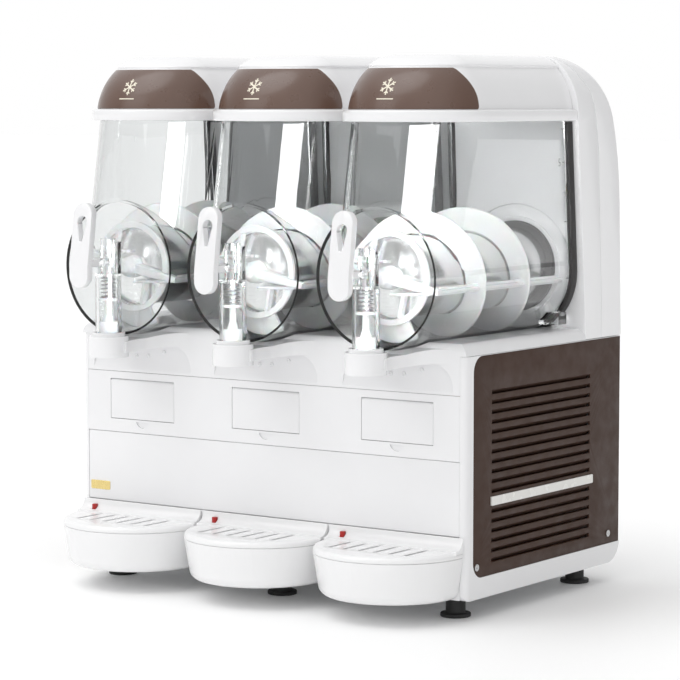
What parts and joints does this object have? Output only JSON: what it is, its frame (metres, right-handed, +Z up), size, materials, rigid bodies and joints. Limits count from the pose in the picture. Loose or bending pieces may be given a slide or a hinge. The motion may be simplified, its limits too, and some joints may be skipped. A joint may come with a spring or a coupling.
{
  "type": "slush machine",
  "caption": "Countertop slush machine with clear bowls in a row, augers, pull taps, lift-off lids, drip trays, control flaps and louvred sides on a white cabinet.",
  "frame": {"origin": "bottom centre of the whole object's box, on the surface it stands on", "axes": "+X to the right seen from the front, -Y towards the user, +Z up"},
  "size_m": [0.54, 0.453, 0.617],
  "materials": {
    "cabinet_white": "glossy",
    "panel_brown": "satin",
    "strip_white": "glossy",
    "zinc_sheet": "satin",
    "foot_rubber": "matte",
    "screw_steel": "brushed",
    "stainless": "brushed",
    "flange_white": "satin",
    "seal_black": "matte",
    "motor_grey": "painted",
    "compressor_black": "satin",
    "condenser_copper": "bare",
    "fan_grey": "matte",
    "bowl_clear": "clear polished",
    "lid_white": "glossy",
    "auger_white": "satin",
    "tap_white": "glossy",
    "spring_steel": "bright",
    "tray_white": "glossy",
    "float_red": "glossy",
    "flap_white": "satin",
    "switch_black": "satin"
  },
  "bodies": {
    "root": {"base_pan": "zinc_sheet", "feet": "foot_rubber", "plinth": "cabinet_white", "front_panel_lower": "cabinet_white", "front_panel_upper": "cabinet_white", "top_deck": "cabinet_white", "cheek_left": "cabinet_white", "cheek_right": "cabinet_white", "side_panel_left": "panel_brown", "side_panel_right": "panel_brown", "side_screws": "screw_steel", "vent_strips": "strip_white", "rear_panel": "zinc_sheet", "tower_front": "cabinet_white", "tower_cover": "cabinet_white", "evaporators": "stainless", "evaporator_flanges": "flange_white", "evaporator_seals": "seal_black", "bowl_gaskets": "seal_black", "gearmotors": "motor_grey", "compressor": "compressor_black", "condenser": "condenser_copper", "fan_motor": "motor_grey", "bowl_1": "bowl_clear", "bowl_2": "bowl_clear", "bowl_3": "bowl_clear"},
    "fan": {"fan_blade": "fan_grey"},
    "auger_1": {"auger_1": "auger_white", "drive_shaft_1": "stainless"},
    "lid_1": {"lid_1": "lid_white"},
    "lever_1": {"tap_lever_1": "tap_white"},
    "piston_1": {"tap_piston_1": "tap_white", "tap_spring_1": "spring_steel"},
    "tray_1": {"drip_tray_1": "tray_white"},
    "grille_1": {"drip_grille_1": "tray_white"},
    "float_1": {"tray_float_1": "float_red"},
    "flap_1": {"control_flap_1": "flap_white"},
    "switch_1": {"mix_switch_1": "switch_black"},
    "auger_2": {"auger_2": "auger_white", "drive_shaft_2": "stainless"},
    "lid_2": {"lid_2": "lid_white"},
    "lever_2": {"tap_lever_2": "tap_white"},
    "piston_2": {"tap_piston_2": "tap_white", "tap_spring_2": "spring_steel"},
    "tray_2": {"drip_tray_2": "tray_white"},
    "grille_2": {"drip_grille_2": "tray_white"},
    "float_2": {"tray_float_2": "float_red"},
    "flap_2": {"control_flap_2": "flap_white"},
    "switch_2": {"mix_switch_2": "switch_black"},
    "auger_3": {"auger_3": "auger_white", "drive_shaft_3": "stainless"},
    "lid_3": {"lid_3": "lid_white"},
    "lever_3": {"tap_lever_3": "tap_white"},
    "piston_3": {"tap_piston_3": "tap_white", "tap_spring_3": "spring_steel"},
    "tray_3": {"drip_tray_3": "tray_white"},
    "grille_3": {"drip_grille_3": "tray_white"},
    "float_3": {"tray_float_3": "float_red"},
    "flap_3": {"control_flap_3": "flap_white"},
    "switch_3": {"mix_switch_3": "switch_black"}
  },
  "joints": [
    {"name": "fan_spin", "type": "hinge", "parent": "root", "child": "fan", "pos_m": [0.175, 0.0515, 0.15], "axis": [1, 0, 0], "continuous": true},
    {"name": "auger_spin_1", "type": "hinge", "parent": "root", "child": "auger_1", "pos_m": [-0.18, 0, 0.374], "axis": [0, 1, 0], "continuous": true},
    {"name": "lid_lift_1", "type": "slide", "parent": "root", "child": "lid_1", "axis": [0, 0, 1], "range_m": [0, 0.1]},
    {"name": "lever_pull_1", "type": "hinge", "parent": "root", "child": "lever_1", "pos_m": [-0.18, -0.1925, 0.381], "axis": [1, 0, 0], "range_deg": [0, 35], "stiffness_Nm_per_rad": 0.4, "springref_deg": -14.32},
    {"name": "piston_lift_1", "type": "slide", "parent": "root", "child": "piston_1", "axis": [0, 0, 1], "range_m": [0, 0.0106], "deforming": ["tap_spring_1"]},
    {"name": "tray_pull_1", "type": "slide", "parent": "root", "child": "tray_1", "axis": [0, -1, 0], "range_m": [0, 0.12]},
    {"name": "grille_lift_1", "type": "slide", "parent": "tray_1", "child": "grille_1", "axis": [0, 0, 1], "range_m": [0, 0.05]},
    {"name": "float_rise_1", "type": "slide", "parent": "tray_1", "child": "float_1", "axis": [0, 0, 1], "range_m": [0, 0.006]},
    {"name": "flap_swing_1", "type": "hinge", "parent": "root", "child": "flap_1", "pos_m": [-0.18, -0.1103, 0.2355], "axis": [1, 0, 0], "range_deg": [-90, 0]},
    {"name": "switch_rock_1", "type": "hinge", "parent": "root", "child": "switch_1", "pos_m": [-0.18, -0.0765, 0.214], "axis": [1, 0, 0], "range_deg": [-12, 12]},
    {"name": "auger_spin_2", "type": "hinge", "parent": "root", "child": "auger_2", "pos_m": [0, 0, 0.374], "axis": [0, 1, 0], "continuous": true},
    {"name": "lid_lift_2", "type": "slide", "parent": "root", "child": "lid_2", "axis": [0, 0, 1], "range_m": [0, 0.1]},
    {"name": "lever_pull_2", "type": "hinge", "parent": "root", "child": "lever_2", "pos_m": [0, -0.1925, 0.381], "axis": [1, 0, 0], "range_deg": [0, 35], "stiffness_Nm_per_rad": 0.4, "springref_deg": -14.32},
    {"name": "piston_lift_2", "type": "slide", "parent": "root", "child": "piston_2", "axis": [0, 0, 1], "range_m": [0, 0.0106], "deforming": ["tap_spring_2"]},
    {"name": "tray_pull_2", "type": "slide", "parent": "root", "child": "tray_2", "axis": [0, -1, 0], "range_m": [0, 0.12]},
    {"name": "grille_lift_2", "type": "slide", "parent": "tray_2", "child": "grille_2", "axis": [0, 0, 1], "range_m": [0, 0.05]},
    {"name": "float_rise_2", "type": "slide", "parent": "tray_2", "child": "float_2", "axis": [0, 0, 1], "range_m": [0, 0.006]},
    {"name": "flap_swing_2", "type": "hinge", "parent": "root", "child": "flap_2", "pos_m": [0, -0.1103, 0.2355], "axis": [1, 0, 0], "range_deg": [-90, 0]},
    {"name": "switch_rock_2", "type": "hinge", "parent": "root", "child": "switch_2", "pos_m": [0, -0.0765, 0.214], "axis": [1, 0, 0], "range_deg": [-12, 12]},
    {"name": "auger_spin_3", "type": "hinge", "parent": "root", "child": "auger_3", "pos_m": [0.18, 0, 0.374], "axis": [0, 1, 0], "continuous": true},
    {"name": "lid_lift_3", "type": "slide", "parent": "root", "child": "lid_3", "axis": [0, 0, 1], "range_m": [0, 0.1]},
    {"name": "lever_pull_3", "type": "hinge", "parent": "root", "child": "lever_3", "pos_m": [0.18, -0.1925, 0.381], "axis": [1, 0, 0], "range_deg": [0, 35], "stiffness_Nm_per_rad": 0.4, "springref_deg": -14.32},
    {"name": "piston_lift_3", "type": "slide", "parent": "root", "child": "piston_3", "axis": [0, 0, 1], "range_m": [0, 0.0106], "deforming": ["tap_spring_3"]},
    {"name": "tray_pull_3", "type": "slide", "parent": "root", "child": "tray_3", "axis": [0, -1, 0], "range_m": [0, 0.12]},
    {"name": "grille_lift_3", "type": "slide", "parent": "tray_3", "child": "grille_3", "axis": [0, 0, 1], "range_m": [0, 0.05]},
    {"name": "float_rise_3", "type": "slide", "parent": "tray_3", "child": "float_3", "axis": [0, 0, 1], "range_m": [0, 0.006]},
    {"name": "flap_swing_3", "type": "hinge", "parent": "root", "child": "flap_3", "pos_m": [0.18, -0.1103, 0.2355], "axis": [1, 0, 0], "range_deg": [-90, 0]},
    {"name": "switch_rock_3", "type": "hinge", "parent": "root", "child": "switch_3", "pos_m": [0.18, -0.0765, 0.214], "axis": [1, 0, 0], "range_deg": [-12, 12]}
  ],
  "couplings": [
    {"joint": "piston_lift_1", "follows": "lever_pull_1", "m_per_rad": 0.0172},
    {"joint": "piston_lift_2", "follows": "lever_pull_2", "m_per_rad": 0.0172},
    {"joint": "piston_lift_3", "follows": "lever_pull_3", "m_per_rad": 0.0172}
  ]
}
